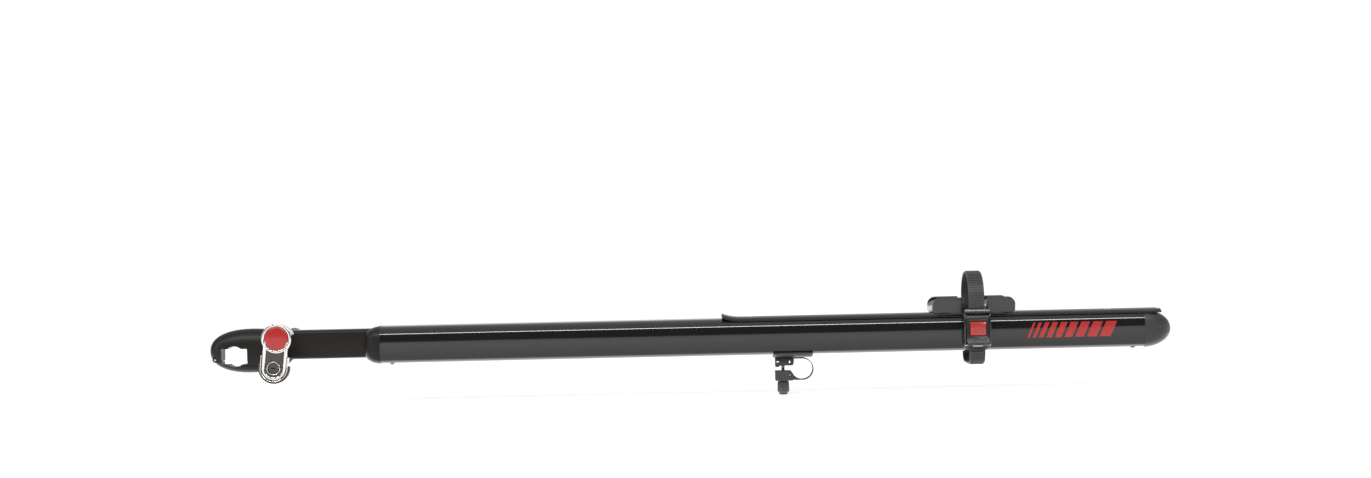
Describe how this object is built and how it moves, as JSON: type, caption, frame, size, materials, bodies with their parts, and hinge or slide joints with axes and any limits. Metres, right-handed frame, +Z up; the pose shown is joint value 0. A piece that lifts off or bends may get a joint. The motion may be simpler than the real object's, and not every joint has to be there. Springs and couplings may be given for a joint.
{
  "type": "bicycle roof carrier rail",
  "caption": "Fork-mount bicycle carrier rail with a locking skewer head, a wheel tray with a ratchet strap, and a sliding rear crossbar clamp under a slotted beam.",
  "frame": {"origin": "middle of the front crossbar channel, on the axis of the crossbar that the head clamps", "axes": "+X along the rail to the rear end cap, +Z up, lever side at -Y; +Y along the crossbar"},
  "size_m": [1.348, 0.1615, 0.167],
  "materials": {
    "gloss": "gloss black coated extrusion",
    "satin": "satin black coat",
    "plastic": "black moulded plastic, fine grain",
    "strap": "grey-black ribbed strap",
    "red_plastic": "red moulded plastic",
    "chrome": "polished chrome plate",
    "steel": "zinc-plated steel"
  },
  "bodies": {
    "rail": {"beam_tube": "gloss", "neck_tube": "satin", "front_collar": "satin", "rear_end_cap": "plastic", "collar_screw_near": "steel", "collar_screw_far": "steel", "cap_screw_near": "steel", "cap_screw_far": "steel", "wheel_tray": "satin", "tray_rivet_1": "steel", "tray_rivet_2": "steel", "side_decal": "red_plastic", "head_body": "satin", "jaw_hinge_pin": "steel", "head_cross_pin": "steel", "skewer_rod": "steel", "hub_washer_near": "steel", "hub_washer_far": "steel", "cam_washer": "plastic", "cam_pin": "steel", "keeper_cup": "plastic", "keeper_band": "chrome", "keeper_screw": "steel"},
    "lower_jaw": {"lower_jaw": "satin", "jaw_bolt": "steel"},
    "adjusting_nut": {"adjusting_nut": "chrome"},
    "skewer_lever": {"lever_frame": "chrome", "lever_cap_disc": "red_plastic", "lever_insert": "plastic", "lock_bezel": "chrome"},
    "lock_plug": {"lock_plug": "plastic"},
    "strap_station": {"strap_cradle": "plastic", "wheel_strap": "strap", "strap_rivet": "steel", "buckle_frame": "plastic", "buckle_rivet": "steel", "ratchet_pin": "steel", "pawl_pin": "steel"},
    "ratchet_lever": {"ratchet_lever": "plastic", "button_pin": "steel"},
    "release_button": {"release_button": "red_plastic"},
    "holding_pawl": {"holding_pawl": "steel"},
    "clamp_carriage": {"slide_nut": "steel", "clamp_stud": "steel", "saddle_plate": "plastic", "upper_clamp_block": "plastic", "clamp_band": "steel"},
    "lower_clamp_block": {"lower_clamp_block": "plastic"},
    "clamp_knob": {"clamp_knob": "plastic"}
  },
  "joints": [
    {"name": "lower_jaw_swing", "type": "hinge", "parent": "rail", "child": "lower_jaw", "pos_m": [-0.0282, 0, -0.0045], "axis": [0, 1, 0], "range_deg": [0, 45]},
    {"name": "adjusting_nut_spin", "type": "hinge", "parent": "rail", "child": "adjusting_nut", "pos_m": [0.073, 0.064, 0.0273], "axis": [0, 1, 0], "continuous": true},
    {"name": "skewer_lever_swing", "type": "hinge", "parent": "rail", "child": "skewer_lever", "pos_m": [0.073, -0.0803, 0.0273], "axis": [-0.994, 0, 0.1097], "range_deg": [0, 90]},
    {"name": "lock_plug_turn", "type": "hinge", "parent": "skewer_lever", "child": "lock_plug", "pos_m": [0.06854, -0.083, -0.01306], "axis": [0, 1, 0], "range_deg": [0, 90]},
    {"name": "strap_station_slide", "type": "slide", "parent": "rail", "child": "strap_station", "axis": [1, 0, 0], "range_m": [-0.2, 0.048]},
    {"name": "ratchet_lever_swing", "type": "hinge", "parent": "strap_station", "child": "ratchet_lever", "pos_m": [1.0365, -0.0471, 0.033], "axis": [-1, 0, 0], "range_deg": [0, 55]},
    {"name": "release_button_press", "type": "hinge", "parent": "ratchet_lever", "child": "release_button", "pos_m": [1.0365, -0.0491, 0.026], "axis": [1, 0, 0], "range_deg": [0, 8], "stiffness_Nm_per_rad": 0.05},
    {"name": "holding_pawl_lift", "type": "hinge", "parent": "strap_station", "child": "holding_pawl", "pos_m": [1.0365, -0.0451, -0.0045], "axis": [1, 0, 0], "range_deg": [0, 15]},
    {"name": "clamp_slide", "type": "slide", "parent": "rail", "child": "clamp_carriage", "axis": [1, 0, 0], "range_m": [-0.45, 0.18]},
    {"name": "lower_block_slide", "type": "slide", "parent": "clamp_carriage", "child": "lower_clamp_block", "axis": [0, 0, 1], "range_m": [0, 0.005]},
    {"name": "clamp_knob_turn", "type": "hinge", "parent": "lower_clamp_block", "child": "clamp_knob", "pos_m": [0.768, 0, -0.06], "axis": [0, 0, 1], "range_deg": [0, 2250]}
  ],
  "couplings": [
    {"joint": "holding_pawl_lift", "follows": "release_button_press", "ratio": 1.875},
    {"joint": "clamp_knob_turn", "follows": "lower_block_slide", "rad_per_m": 7854}
  ]
}
